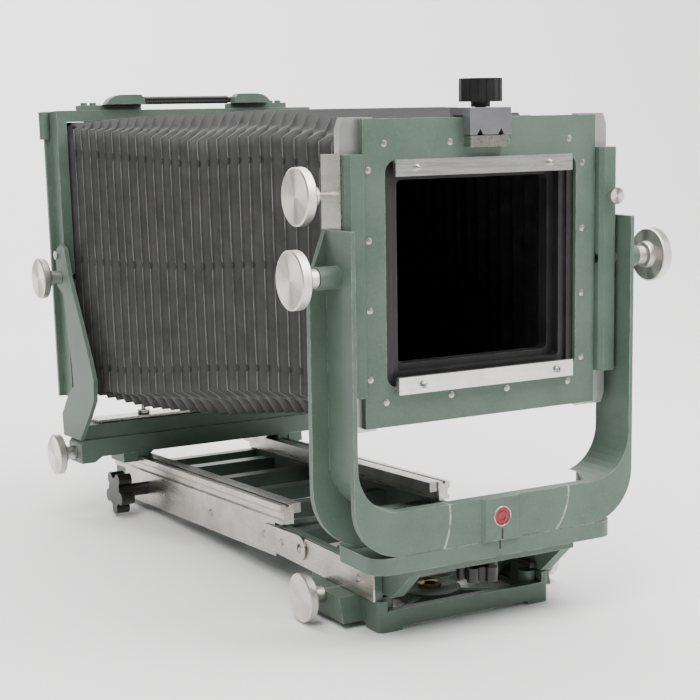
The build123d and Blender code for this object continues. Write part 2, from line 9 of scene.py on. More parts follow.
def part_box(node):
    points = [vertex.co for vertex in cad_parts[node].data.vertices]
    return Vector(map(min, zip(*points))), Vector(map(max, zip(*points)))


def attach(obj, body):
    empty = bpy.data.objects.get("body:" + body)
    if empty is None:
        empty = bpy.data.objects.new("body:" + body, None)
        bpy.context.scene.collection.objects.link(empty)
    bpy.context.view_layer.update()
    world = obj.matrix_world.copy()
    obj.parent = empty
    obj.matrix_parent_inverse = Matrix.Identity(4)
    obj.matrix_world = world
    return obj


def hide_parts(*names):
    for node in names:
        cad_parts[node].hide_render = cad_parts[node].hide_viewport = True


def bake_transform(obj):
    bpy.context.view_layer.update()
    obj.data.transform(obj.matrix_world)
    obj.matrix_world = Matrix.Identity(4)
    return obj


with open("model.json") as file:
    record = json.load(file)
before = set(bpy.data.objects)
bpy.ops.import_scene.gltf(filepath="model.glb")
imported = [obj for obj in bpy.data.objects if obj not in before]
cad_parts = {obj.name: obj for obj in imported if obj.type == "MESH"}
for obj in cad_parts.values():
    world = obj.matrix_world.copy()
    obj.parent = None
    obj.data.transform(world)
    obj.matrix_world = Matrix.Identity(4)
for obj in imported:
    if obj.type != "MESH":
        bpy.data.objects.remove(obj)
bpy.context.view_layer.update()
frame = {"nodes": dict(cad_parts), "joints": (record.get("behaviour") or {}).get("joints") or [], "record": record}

mm = 0.001
joints = {joint["name"]: joint for joint in frame["joints"]}
bodyOf = {node: body for body, nodes in frame["record"]["behaviour"]["bodies"].items() for node in nodes}


def addNode(tree, kind, inputs=None, **settings):
    node = tree.nodes.new(kind)
    for key, value in settings.items():
        setattr(node, key, value)
    for key, value in (inputs or {}).items():
        if isinstance(value, bpy.types.NodeSocket):
            tree.links.new(value, node.inputs[key])
        else:
            node.inputs[key].default_value = value
    return node


def newMaterial(name, **sockets):
    material = bpy.data.materials.new(name)
    material.use_nodes = True
    shader = material.node_tree.nodes["Principled BSDF"]
    for key, value in sockets.items():
        shader.inputs[key.replace("_", " ")].default_value = value
    return material, material.node_tree, shader


def placeOf(tree, scale=(1, 1, 1)):
    coords = addNode(tree, "ShaderNodeTexCoord")
    return addNode(tree, "ShaderNodeMapping", {"Vector": coords.outputs["Object"], "Scale": scale}).outputs[0]


def noiseOf(tree, vector, scale, detail=3.0, roughness=0.55):
    return addNode(tree, "ShaderNodeTexNoise", {"Vector": vector, "Scale": scale, "Detail": detail,
                                                "Roughness": roughness}).outputs["Fac"]


def rangeOf(tree, value, low, high, toLow=0.0, toHigh=1.0):
    node = addNode(tree, "ShaderNodeMapRange", {"Value": value, "From Min": low, "From Max": high,
                                                "To Min": toLow, "To Max": toHigh})
    return node.outputs["Result"]


def mathOf(tree, operation, a, b=0.0):
    return addNode(tree, "ShaderNodeMath", {0: a, 1: b}, operation=operation).outputs[0]


def mixOf(tree, factor, a, b):
    node = addNode(tree, "ShaderNodeMix", data_type="RGBA")
    for socket, value in ((node.inputs[0], factor), (node.inputs[6], a), (node.inputs[7], b)):
        if isinstance(value, bpy.types.NodeSocket):
            tree.links.new(value, socket)
        else:
            socket.default_value = value
    return node.outputs[2]


def bumpOf(tree, height, strength, distance):
    inputs = {"Height": height, "Strength": strength, "Distance": distance}
    return addNode(tree, "ShaderNodeBump", inputs).outputs["Normal"]


def edgesOf(tree, radius):
    # how far a rounded copy of the surface leans away from the true one: 0 on flats, up to 1 on edges
    rounded = addNode(tree, "ShaderNodeBevel", {"Radius": radius}, samples=6)
    geometry = addNode(tree, "ShaderNodeNewGeometry")
    dot = addNode(tree, "ShaderNodeVectorMath", {0: rounded.outputs[0], 1: geometry.outputs["True Normal"]},
                  operation="DOT_PRODUCT")
    return mathOf(tree, "SUBTRACT", 1.0, dot.outputs["Value"])


def objectParts(tree):
    # the three separate coordinates of a spot on the piece
    coords = addNode(tree, "ShaderNodeTexCoord")
    return addNode(tree, "ShaderNodeSeparateXYZ", {0: coords.outputs["Object"]}).outputs


enamelLook = {
    "body": (0.092, 0.134, 0.105, 1), "pale": (0.118, 0.162, 0.133, 1), "dark": (0.070, 0.108, 0.082, 1),
    "rubbed": (0.42, 0.47, 0.44, 1), "ink": (0.008, 0.008, 0.008, 1),
    "cloudScale": 28.0, "speckScale": 900.0, "patchScale": 95.0, "chipScale": 260.0,
    "chipStretch": (1, 1, 0.35),
    "wearRadius": 0.9 * mm, "rubHalf": 0.5 * mm, "peelDeep": 0.15 * mm,
}
# two arcs rubbed across the yoke's base: centre across and up, then radius
rubbedArcs = ((-100 * mm, 95 * mm, 57 * mm), (20 * mm, 100 * mm, 42 * mm))


def rubbedArc(tree, look, patch, across, up, radius):
    # a thin broken line where the distance from the arc's centre is its radius, on the outward side only
    spot = objectParts(tree)
    flat = addNode(tree, "ShaderNodeCombineXYZ", {0: spot[0], 2: spot[2]})
    reach = addNode(tree, "ShaderNodeVectorMath", {0: flat.outputs[0], 1: (across, 0, up)},
                    operation="DISTANCE")
    miss = mathOf(tree, "ABSOLUTE", mathOf(tree, "SUBTRACT", reach.outputs["Value"], radius))
    line = rangeOf(tree, miss, look["rubHalf"] * 2, look["rubHalf"])
    line = mathOf(tree, "MULTIPLY", line, mathOf(tree, "GREATER_THAN", spot[0], across + radius * 0.55))
    return mathOf(tree, "MULTIPLY", line, rangeOf(tree, patch, 0.40, 0.52, 0.1, 0.8))


def indexMark(tree, line):
    # 1 on a thin upright line at the middle, between two heights, on the front faces only
    spot = objectParts(tree)
    near = mathOf(tree, "LESS_THAN", mathOf(tree, "ABSOLUTE", spot[0]), line["half"])
    above = mathOf(tree, "GREATER_THAN", spot[2], line["low"])
    below = mathOf(tree, "LESS_THAN", spot[2], line["high"])
    front = mathOf(tree, "LESS_THAN", spot[1], line["front"])
    return mathOf(tree, "MULTIPLY", mathOf(tree, "MULTIPLY", near, above),
                  mathOf(tree, "MULTIPLY", below, front))


def enamel(name, look, indexLine=None, arcs=()):
    # cast aluminium under a satin enamel: cloudy tone, fine orange peel, rubbed edges and small chips
    material, tree, shader = newMaterial(name, Coat_Weight=0.08, Coat_Roughness=0.3, IOR=1.42)
    place = placeOf(tree)
    cloud = noiseOf(tree, place, look["cloudScale"], 4.0)
    speck = noiseOf(tree, place, look["speckScale"], 2.0, 0.7)
    tone = mixOf(tree, rangeOf(tree, cloud, 0.35, 0.65), look["dark"], look["body"])
    tone = mixOf(tree, rangeOf(tree, speck, 0.5, 0.75, 0.0, 0.7), tone, look["pale"])
    edge = edgesOf(tree, look["wearRadius"])
    patch = noiseOf(tree, place, look["patchScale"], 5.0, 0.7)
    worn = mathOf(tree, "MULTIPLY", rangeOf(tree, edge, 0.06, 0.24), rangeOf(tree, patch, 0.42, 0.56))
    chipNoise = noiseOf(tree, placeOf(tree, look["chipStretch"]), look["chipScale"], 6.0, 0.8)
    chip = rangeOf(tree, chipNoise, 0.735, 0.75)
    worn = mathOf(tree, "MAXIMUM", worn, mathOf(tree, "MULTIPLY", chip, 0.6))
    for across, up, radius in arcs:
        worn = mathOf(tree, "MAXIMUM", worn, rubbedArc(tree, look, patch, across, up, radius))
    colour = mixOf(tree, worn, tone, look["rubbed"])
    if indexLine:
        colour = mixOf(tree, indexMark(tree, indexLine), colour, look["ink"])
    tree.links.new(colour, shader.inputs["Base Color"])
    tree.links.new(rangeOf(tree, worn, 0, 1, 0.0, 0.75), shader.inputs["Metallic"])
    tree.links.new(rangeOf(tree, cloud, 0.3, 0.7, 0.42, 0.54), shader.inputs["Roughness"])
    tree.links.new(bumpOf(tree, speck, 0.12, look["peelDeep"]), shader.inputs["Normal"])
    return material


plateLook = {"edge": (0.86, 0.85, 0.82, 1), "edgeRadius": 0.5 * mm, "tarnishScale": 42.0,
             "streakDeep": 0.05 * mm}


def plate(name, colour, shade, roughness, grainScale, metallic=1.0):
    # rolled and plated metal: long rubbed streaks, cloudy tarnish, brighter at its edges
    material, tree, shader = newMaterial(name, Metallic=metallic, Anisotropic=0.35)
    streaks = noiseOf(tree, placeOf(tree, grainScale), 1.0, 4.0, 0.7)
    tarnish = noiseOf(tree, placeOf(tree), plateLook["tarnishScale"], 5.0, 0.62)
    tone = mixOf(tree, rangeOf(tree, tarnish, 0.38, 0.66), colour, shade)
    bright = rangeOf(tree, edgesOf(tree, plateLook["edgeRadius"]), 0.05, 0.3)
    tone = mixOf(tree, bright, tone, plateLook["edge"])
    rough = rangeOf(tree, streaks, 0.3, 0.7, roughness * 0.8, roughness * 1.3)
    tree.links.new(tone, shader.inputs["Base Color"])
    tree.links.new(rough, shader.inputs["Roughness"])
    tree.links.new(bumpOf(tree, streaks, 0.10, plateLook["streakDeep"]), shader.inputs["Normal"])
    return material


turnedLook = {"bright": (0.70, 0.67, 0.615, 1), "pale": (0.78, 0.75, 0.70, 1), "cloudScale": 120.0,
              "fineScale": 1500.0}


def turnedMetal(name, axis, look):
    # aluminium faced on a lathe: grooves run round the axis, so highlights fan out from the centre
    material, tree, shader = newMaterial(name, Metallic=1.0, Anisotropic=0.95)
    tangent = addNode(tree, "ShaderNodeTangent", direction_type="RADIAL", axis=axis)
    cloud = noiseOf(tree, placeOf(tree), look["cloudScale"], 4.0)
    fine = noiseOf(tree, placeOf(tree), look["fineScale"], 2.0)
    tone = mixOf(tree, rangeOf(tree, cloud, 0.3, 0.7), look["bright"], look["pale"])
    tree.links.new(tone, shader.inputs["Base Color"])
    tree.links.new(rangeOf(tree, fine, 0.3, 0.7, 0.30, 0.38), shader.inputs["Roughness"])
    tree.links.new(tangent.outputs[0], shader.inputs["Tangent"])
    return material


def blackFinish(name, colour, roughness, worn, wearAmount, grain):
    # black paint or moulding: fine grain, greyed along its edges where it has been handled
    material, tree, shader = newMaterial(name)
    place = placeOf(tree)
    dust = noiseOf(tree, place, 70.0, 5.0, 0.65)
    edge = mathOf(tree, "MULTIPLY", rangeOf(tree, edgesOf(tree, 0.8 * mm), 0.05, 0.3),
                  rangeOf(tree, dust, 0.4, 0.6, 0.1, wearAmount))
    dusty = (colour[0] * 2, colour[1] * 2, colour[2] * 2, 1)
    tone = mixOf(tree, rangeOf(tree, dust, 0.4, 0.75, 0.0, 0.5), colour, dusty)
    rough = rangeOf(tree, dust, 0.3, 0.7, roughness * 0.85, roughness * 1.15)
    tree.links.new(mixOf(tree, edge, tone, worn), shader.inputs["Base Color"])
    tree.links.new(rough, shader.inputs["Roughness"])
    tree.links.new(bumpOf(tree, noiseOf(tree, place, grain, 2.0), 0.2, 0.1 * mm), shader.inputs["Normal"])
    return material


leatherLook = {
    "body": (0.040, 0.040, 0.040, 1), "dusty": (0.068, 0.068, 0.067, 1), "crest": (0.26, 0.26, 0.255, 1),
    # the next two colours are painted shade: the first beside the fold lines and on faces that look up or down,
    # the second in the stiffener dents
    "shadow": (0.009, 0.009, 0.009, 1), "dentAndPaintedShade": (0.003, 0.003, 0.003, 1),
    "grain": 1400.0, "grainDeep": 0.12 * mm, "dustScale": 55.0,
}


def leather(name, look):
    # folded black leather: pebbled grain, dust on the flats, pale rubbed fold lines, painted shade beside the fold
    # lines and on the faces that look up or down, and stiffener dents darkened with painted shade
    material, tree, shader = newMaterial(name, Sheen_Weight=0.05, Sheen_Roughness=0.4, IOR=1.38)
    place = placeOf(tree)
    dust = noiseOf(tree, place, look["dustScale"], 5.0, 0.65)
    pebble = addNode(tree, "ShaderNodeTexVoronoi", {"Vector": place, "Scale": look["grain"]})
    crest = addNode(tree, "ShaderNodeAttribute", attribute_name="crest").outputs["Fac"]
    dentAndPaintedShade = addNode(tree, "ShaderNodeAttribute", attribute_name="dentAndPaintedShade").outputs["Fac"]
    tone = mixOf(tree, rangeOf(tree, dust, 0.35, 0.7), look["body"], look["dusty"])
    # painted shade: a painted shadow line lies beside each fold line, and painted shade darkens all the faces that
    # look up or down
    paintedFoldShadow = mathOf(tree, "MULTIPLY", rangeOf(tree, crest, 0.74, 0.88), rangeOf(tree, crest, 0.95, 0.91))
    coords = addNode(tree, "ShaderNodeTexCoord")
    facing = addNode(tree, "ShaderNodeSeparateXYZ", {0: coords.outputs["Normal"]})
    paintedUpDownShade = rangeOf(tree, mathOf(tree, "ABSOLUTE", facing.outputs[2]), 0.35, 0.8, 0.0, 0.85)
    paintedShade = mathOf(tree, "MAXIMUM", mathOf(tree, "MULTIPLY", paintedFoldShadow, 0.6), paintedUpDownShade)
    tone = mixOf(tree, paintedShade, tone, look["shadow"])
    rubbed = mathOf(tree, "MULTIPLY", rangeOf(tree, crest, 0.93, 1.0),
                    rangeOf(tree, dust, 0.36, 0.58, 0.15, 0.9))
    tone = mixOf(tree, rubbed, tone, look["crest"])
    # painted shade: the stiffener dents darkened to near black
    tone = mixOf(tree, rangeOf(tree, dentAndPaintedShade, 0.3, 0.6), tone, look["dentAndPaintedShade"])
    tree.links.new(tone, shader.inputs["Base Color"])
    tree.links.new(rangeOf(tree, dust, 0.3, 0.7, 0.46, 0.62), shader.inputs["Roughness"])
    tree.links.new(bumpOf(tree, pebble.outputs["Distance"], 0.25, look["grainDeep"]), shader.inputs["Normal"])
    return material


def groundGlass(name):
    material, tree, shader = newMaterial(name, Roughness=0.5, Transmission_Weight=0.6, IOR=1.5)
    grind = noiseOf(tree, placeOf(tree), 2500.0, 2.0)
    tone = mixOf(tree, rangeOf(tree, grind, 0.3, 0.7), (0.80, 0.83, 0.82, 1), (0.88, 0.90, 0.89, 1))
    tree.links.new(tone, shader.inputs["Base Color"])
    tree.links.new(bumpOf(tree, grind, 0.3, 0.05 * mm), shader.inputs["Normal"])
    return material


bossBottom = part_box("yoke")[0].z
slabFront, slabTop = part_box("swing_slab")[0].y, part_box("swing_slab")[1].z
indexLine = {"half": 0.8 * mm, "low": bossBottom + 1.0 * mm, "high": bossBottom + 9.0 * mm,
             "front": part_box("yoke")[0].y + 3 * mm}
slabLine = {"half": 0.8 * mm, "low": slabTop - 7 * mm, "high": slabTop, "front": slabFront + 0.5 * mm}
finishes = {
    "green_enamel": enamel("greyGreenEnamel", enamelLook),
    "nickel": plate("dullNickel", (0.56, 0.535, 0.48, 1), (0.42, 0.40, 0.355, 1), 0.28, (500, 14, 500)),
    "aluminium": turnedMetal("turnedAluminium", "X", turnedLook),
    "black_plastic": blackFinish("mouldedBlack", (0.006, 0.006, 0.006, 1), 0.36, (0.05, 0.05, 0.05, 1),
                                 0.4, 900.0),
    "black_paint": blackFinish("matteBlackPaint", (0.009, 0.009, 0.009, 1), 0.5, (0.10, 0.10, 0.098, 1),
                               0.9, 700.0),
    "steel": plate("plainSteel", (0.50, 0.49, 0.47, 1), (0.36, 0.35, 0.33, 1), 0.34, (300, 300, 300)),
    "brass": plate("tarnishedBrass", (0.45, 0.35, 0.17, 1), (0.30, 0.22, 0.10, 1), 0.36, (300, 300, 300)),
    "leather": leather("bellowsLeather", leatherLook),
    "glass": groundGlass("groundGlass"),
    "red_enamel": blackFinish("redEnamel", (0.20, 0.004, 0.008, 1), 0.25, (0.30, 0.03, 0.03, 1), 0.2, 500.0),
    "grey_plate": plate("greyAnodised", (0.30, 0.29, 0.31, 1), (0.24, 0.235, 0.25, 1), 0.38,
                        (300, 300, 300), 0.85),
}
special = {
    "yoke": enamel("yokeEnamel", enamelLook, indexLine, rubbedArcs),
    "swing_slab": enamel("slabEnamel", enamelLook, slabLine),
    "rise_lock_knob": turnedMetal("turnedAluminiumFront", "Y", turnedLook),
    "retainer_bar_top": plate("polishedNickel", (0.86, 0.85, 0.82, 1), (0.78, 0.77, 0.74, 1), 0.26,
                              (14, 500, 500)),
    "lens_rails": plate("bareAluminium", (0.70, 0.70, 0.69, 1), (0.58, 0.58, 0.575, 1), 0.36, (500, 500, 14)),
}
special["retainer_bar_bottom"] = special["retainer_bar_top"]
slotOf = {part["node"]: part["material_slot"] for part in frame["record"]["subparts"]}
for node, shown in frame["nodes"].items():
    finish = special.get(node) or finishes[slotOf[node]]
    if not shown.material_slots:
        shown.data.materials.append(finish)
    for slot in shown.material_slots:
        slot.material = finish
print("finishes set on", len(frame["nodes"]), "nodes")


def solidBoxes(node):
    # the low and high corner of each separate solid in a node: corner labels spread until they stop changing
    mesh = frame["nodes"][node].data
    corners = np.empty(len(mesh.vertices) * 3)
    mesh.vertices.foreach_get("co", corners)
    corners = corners.reshape(-1, 3)
    loops = np.empty(len(mesh.loops), dtype=np.int64)
    mesh.loops.foreach_get("vertex_index", loops)
    spots, index = np.unique(np.round(corners, 5), axis=0, return_inverse=True)
    triangles = index.reshape(-1)[loops].reshape(-1, 3)
    label = np.arange(len(spots))
    while True:
        least = label[triangles].min(axis=1)
        spread = label.copy()
        np.minimum.at(spread, triangles.reshape(-1), np.repeat(least, 3))
        if (spread == label).all():
            break
        label = spread
    groups = [spots[label == value] for value in np.unique(label)]
    return [(group.min(axis=0), group.max(axis=0)) for group in groups if len(group) > 2]


def gridMesh(name, points, material, wrap=False, smooth=True):
    # quads over a grid of points, rows by columns, repeated for each leading item
    points = np.asarray(points, float)
    if points.ndim == 3:
        points = points[None]
    items, rows, columns, _ = points.shape
    index = np.arange(rows * columns).reshape(rows, columns)
    if wrap:
        index = np.concatenate([index, index[:, :1]], axis=1)
    quads = np.stack([index[:-1, :-1], index[:-1, 1:], index[1:, 1:], index[1:, :-1]], axis=-1).reshape(-1, 4)
    faces = (quads[None] + (np.arange(items) * rows * columns)[:, None, None]).reshape(-1, 4)
    mesh = bpy.data.meshes.new(name)
    mesh.from_pydata(points.reshape(-1, 3), [], faces)
    built = bmesh.new()
    built.from_mesh(mesh)
    bmesh.ops.remove_doubles(built, verts=built.verts, dist=1e-6)
    bmesh.ops.recalc_face_normals(built, faces=built.faces)
    built.to_mesh(mesh)
    built.free()
    mesh.polygons.foreach_set("use_smooth", np.full(len(mesh.polygons), smooth))
    mesh.materials.append(material)
    piece = bpy.data.objects.new(name, mesh)
    bpy.context.scene.collection.objects.link(piece)
    return piece


def slottedHeads(name, node, towards, look):
    # screw heads: straight rows across a disc, height = rim + dome * (1 - radius squared), less a slot
    # down the middle, and a skirt down to the surface below
    towards = np.array(towards, float)
    axis = int(np.argmax(np.abs(towards)))
    flat = [k for k in range(3) if k != axis]
    boxes = solidBoxes(node)
    low = np.array([pair[0] for pair in boxes])
    high = np.array([pair[1] for pair in boxes])
    centre = (low + high) / 2
    side = np.sign(centre[:, axis]) if look.get("bothSides") else np.full(len(boxes), towards[axis])
    radius = (high - low)[:, flat].mean(axis=1) / 2
    base = np.where(side > 0, low[:, axis], high[:, axis])
    tall = (high - low)[:, axis]
    slot = look["slotHalf"]
    half = np.array([slot, slot + 0.02, 0.5, 0.75, 0.93, 1, 1])
    across = np.concatenate([-half[::-1], [-slot, 0, slot], half])
    cut = np.zeros(len(across))
    cut[len(half):-len(half)] = 1
    along = np.concatenate([[-1], np.sin(np.linspace(-np.pi / 2, np.pi / 2, look["rows"])), [1]])
    chord = np.sqrt(np.clip(1 - across ** 2, 0, 1))
    p = along[None, :] * chord[:, None]
    q = np.repeat(across[:, None], len(along), axis=1)
    dome = look["rim"] + (1 - look["rim"]) * (1 - p ** 2 - q ** 2) - cut[:, None] * look["slotDeep"]
    dome[:, [0, -1]] = 0
    dome[[0, -1]] = 0
    turn = np.random.default_rng(look["seed"]).uniform(0, np.pi, len(boxes))
    first = p[None] * np.cos(turn)[:, None, None] - q[None] * np.sin(turn)[:, None, None]
    second = p[None] * np.sin(turn)[:, None, None] + q[None] * np.cos(turn)[:, None, None]
    points = np.zeros((len(boxes), len(across), len(along), 3))
    points[..., flat[0]] = centre[:, flat[0], None, None] + radius[:, None, None] * first
    points[..., flat[1]] = centre[:, flat[1], None, None] + radius[:, None, None] * second
    points[..., axis] = (base[:, None, None] + (side * tall)[:, None, None] * dome[None])
    piece = gridMesh(name, points, finishes["steel"], smooth=False)
    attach(piece, bodyOf[node])
    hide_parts(node)


headLook = {"slotHalf": 0.15, "slotDeep": 0.62, "rim": 0.45, "rows": 11}
slottedHeads("panelScrewHeads", "panel_screws", (0, -1, 0), dict(headLook, seed=11))
slottedHeads("topBarScrewHeads", "top_bar_screws", (0, -1, 0), dict(headLook, seed=5))
slottedHeads("frontBedScrewHeads", "front_bed_screws", (1, 0, 0), dict(headLook, bothSides=True, seed=7))
slottedHeads("rearBedScrewHeads", "rear_bed_screws", (1, 0, 0), dict(headLook, bothSides=True, seed=9))
print("slotted screw heads in place")


def badge(look):
    # a turned button: radius and height along its profile, carried round the axis, with a raised rim
    low, high = (np.array(corner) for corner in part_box("yoke_badge"))
    centre = (low + high) / 2
    radius = (high[0] - low[0]) / 2
    tall = high[1] - low[1]
    profile = np.array(look["profile"])
    around = np.linspace(0, 2 * np.pi, look["around"], endpoint=False)
    points = np.zeros((len(profile), len(around), 3))
    points[..., 0] = centre[0] + radius * profile[:, :1] * np.cos(around)
    points[..., 1] = high[1] - tall * profile[:, 1:]
    points[..., 2] = centre[2] + radius * profile[:, :1] * np.sin(around)
    rimRows = look["rimRows"]
    for name, rows, finish in (("badgeRim", points[:rimRows + 1], "nickel"),
                               ("badgeFace", points[rimRows:], "red_enamel")):
        piece = gridMesh(name, rows, finishes[finish], wrap=True)
        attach(piece, "yoke")
        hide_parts("yoke_badge")


badge({"profile": [(1.0, 0.0), (1.0, 0.8), (0.98, 0.95), (0.96, 1.0), (0.93, 1.0), (0.90, 0.85),
                   (0.86, 0.72), (0.6, 0.78), (0.52, 0.80), (0.49, 0.9), (0.42, 0.9), (0.39, 0.80),
                   (0.2, 0.84), (0.0, 0.85)],
       "around": 48, "rimRows": 5})
print("turned badge in place")


def handleGrip(look):
    # a ribbed bar: radius = core + rib * |sin(pi * x / pitch)|, pinched in by a long groove front and back
    low, high = (np.array(corner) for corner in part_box("handle_bar"))
    centre = (low + high) / 2
    radius = (high[1] - low[1]) / 2
    reach = (high[0] - low[0]) / 2
    grip = reach * look["gripShare"]
    along = np.linspace(-grip, grip, look["rows"])
    around = np.linspace(0, 2 * np.pi, look["around"], endpoint=False)
    ribbed = look["core"] + (1 - look["core"]) * np.abs(np.sin(np.pi * along / look["pitch"]))
    groove = 1 - look["groove"] * np.exp(-(np.cos(around) ** 2 - 1) ** 2 / look["grooveWide"])
    thick = np.outer(ribbed, groove) * radius
    stations = np.concatenate([[-reach, -reach, -grip], along, [grip, reach, reach]])
    plain = np.full(len(around), radius * look["pin"])
    size = np.concatenate([[plain * 0, plain, plain], thick, [plain, plain, plain * 0]])
    points = np.zeros((len(stations), len(around), 3))
    points[..., 0] = stations[:, None]
    points[..., 1] = centre[1] + size * np.cos(around)
    points[..., 2] = centre[2] + size * np.sin(around)
    piece = gridMesh("handleGrip", points, finishes["black_paint"], wrap=True)
    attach(piece, bodyOf["handle_bar"])
    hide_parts("handle_bar")


handleGrip({"gripShare": 0.79, "rows": 241, "around": 28, "pitch": 2.4 * mm, "core": 0.82, "groove": 0.28,
            "grooveWide": 0.02, "pin": 0.72})
print("ribbed handle in place")


# bellows: an eight-sided folded tube from the lens frame to the drooping rear frame
bellowsLook = {
    "pleats": 30, "deep": 11.5 * mm, "leather": 0.6 * mm, "steps": (0, 0.1, 0.35, 0.65, 0.9), "bulge": 0.045,
    "wobble": 0.45 * mm, "uneven": 0.7 * mm,
    # dents where stiffeners end, darkened with painted shade: their places up the side, half length, depth and
    # reach from the crest
    "markAt": (0.09, 0.50, 0.91), "markHalf": 0.017, "markDeep": 1.1 * mm, "markReach": 0.3,
    "sideSteps": 25, "topSteps": 27, "cornerSteps": 7, "seed": 3, "flange": 17.0 * mm,
    # distance along the level bed from the lens panel's face, then half width, low edge, high edge and
    # corner cut, all in millimetres
    "sections": ((13.5, 96.8, 170, 361.8, 20), (17.6, 96.8, 170, 361.8, 20), (30, 98, 160, 374, 16),
                 (140, 103, 147, 383, 20), (250, 109, 133, 387, 24), (400, 118, 126, 391, 14),
                 (485, 124, 131, 391, 7), (495, 125, 140, 391, 5), (501.5, 125, 140, 391, 5)),
    "droopFrom": 30, "droopTo": 250, "pivotFromPanel": 140 * mm,
    # the standards the tube passes, and how many half pleats it takes between each two
    "chain": ("lens_frame", "channels", "yoke", "front_carriage", "base", "rear_bed", "rear_carriage",
              "rear_swing", "rear_frame"),
    "halfPleats": (2, 4, 3, 6, 2, 38, 2, 3),
}


def octagonPath(look):
    # stations round the eight sides, as shares of half width, corner cut and height, with how far each has
    # turned from a side (0) to the top or bottom (1), and its height share on the sides
    spread = look["markHalf"] * np.array([-1.2, -0.6, 0, 0.6, 1.2])
    near = (np.array(look["markAt"])[:, None] + spread).reshape(-1)
    side = np.unique(np.concatenate([np.linspace(0, 1, look["sideSteps"]), near]))
    corner = np.linspace(0, 1, look["cornerSteps"])
    top = np.linspace(0, 1, look["topSteps"])
    runs = (((1, 0, 0, 1), (1, 0, 1, -1), side, "side"),
            ((1, 0, 1, -1), (1, -1, 1, 0), corner, "leaving"),
            ((1, -1, 1, 0), (-1, 1, 1, 0), top, "top"),
            ((-1, 1, 1, 0), (-1, 0, 1, -1), corner, "coming"),
            ((-1, 0, 1, -1), (-1, 0, 0, 1), side, "sideDown"),
            ((-1, 0, 0, 1), (-1, 1, 0, 0), corner, "leaving"),
            ((-1, 1, 0, 0), (1, -1, 0, 0), top, "top"),
            ((1, -1, 0, 0), (1, 0, 0, 1), corner, "coming"))
    shares, over, height = [], [], []
    for start, end, stations, kind in runs:
        t = stations[:-1]
        a, b = np.array(start, float), np.array(end, float)
        shares.append(a + (b - a) * t[:, None])
        over.append({"side": t * 0, "sideDown": t * 0, "top": t * 0 + 1, "leaving": t, "coming": 1 - t}[kind])
        height.append({"side": t, "sideDown": 1 - t}.get(kind, t * 0 - 1))
    return np.concatenate(shares), np.concatenate(over), np.concatenate(height)


def bellowsGrid(look):
    # row by row, an octagon whose sizes run straight between the stated sections. The sides go in and out by
    # a zigzag, the top and bottom by the same zigzag half a pleat later, and across each cut corner the two
    # change over, which makes the triangular corner folds
    shares, over, height = octagonPath(look)
    halves = 2 * look["pleats"]
    steps = np.array(look["steps"])
    row = np.concatenate([(np.arange(halves)[:, None] + steps).reshape(-1), [halves]])
    sections = np.array(look["sections"]) * mm
    along = sections[0, 0] + (sections[-1, 0] - sections[0, 0]) * row / halves
    half, low, high, corner = (np.interp(along, sections[:, 0], column)[:, None]
                               for column in sections[:, 1:].T)
    x = half * shares[:, 0] + corner * shares[:, 1]
    z = low * (1 - shares[:, 2]) + high * shares[:, 2] + corner * shares[:, 3]
    fold = np.abs((row + 1) % 2 - 1)
    bowed = fold - look["bulge"] * np.sin(2 * np.pi * fold)
    random = np.random.default_rng(look["seed"])
    pleat = np.round(row / 2).astype(int)
    uneven = look["uneven"] * random.uniform(0, 1, look["pleats"] + 2)[pleat][:, None]
    inward = bowed[:, None] * (1 - over) + (1 - bowed[:, None]) * over
    # the last half pleat is glued flat inside the rear frame
    glued = np.clip(halves - row, 0, 1)[:, None]
    inset = look["deep"] * inward * np.where(glued < 1, glued * (1 - over), 1) + uneven * glued
    miss = np.abs(height[:, None] - np.array(look["markAt"])) / look["markHalf"]
    dash = np.clip(1.4 - miss, 0, 1).max(axis=1)
    strength = random.uniform(0.5, 1, look["pleats"] + 2)[pleat][:, None]
    # the dent mask, which the leather also uses for painted shade in the dents
    dentAndPaintedShade = np.clip(1 - fold / look["markReach"], 0, 1)[:, None] * np.where(height < 0, 0, dash) * strength
    inset = inset + look["markDeep"] * dentAndPaintedShade
    x = x - np.sign(x) * inset * (1 - over)
    z = z - np.sign(z - (low + high) / 2) * inset * over
    # each fold line wanders a little along the tube, but not on the rows where two pieces meet
    meets = np.concatenate([[0], np.cumsum(look["halfPleats"])])
    away = np.clip(np.abs(row[:, None] - meets).min(axis=1), 0, 1)[:, None]
    phase = random.uniform(0, 2 * np.pi, (look["pleats"] + 2, 2))[pleat]
    wander = np.sin(z * 19 + phase[:, :1]) + 0.5 * np.sin(z * 43 + x * 17 + phase[:, 1:])
    y = along[:, None] + look["wobble"] * away * wander
    return row, x, y, z, np.repeat((1 - fold)[:, None], x.shape[1], axis=1), dentAndPaintedShade, meets


def drooped(x, y, z, look):
    # model distances to the row frame: turn about the fold pivot by the row's share of the droop
    pivot = joints["bed_fold"]["pos_m"]
    panelFace = pivot[1] - look["pivotFromPanel"]
    angle = -math.radians(joints["bed_fold"]["range_deg"][1]) * np.clip(
        (y - look["droopFrom"] * mm) / ((look["droopTo"] - look["droopFrom"]) * mm), 0, 1)
    dy = y + panelFace - pivot[1]
    dz = z - pivot[2]
    return np.stack([x, pivot[1] + dy * np.cos(angle) - dz * np.sin(angle),
                     pivot[2] + dy * np.sin(angle) + dz * np.cos(angle)], axis=-1)


def leanOf(ring):
    # how far a ring of the tube leans back, from its lowest point to its highest
    reach = ring[ring[:, 2].argmax()] - ring[ring[:, 2].argmin()]
    return math.atan2(-reach[1], reach[2])


lining = blackFinish("blackClothLining", (0.003, 0.003, 0.003, 1), 0.9, (0.006, 0.006, 0.006, 1), 0.3, 1200.0)


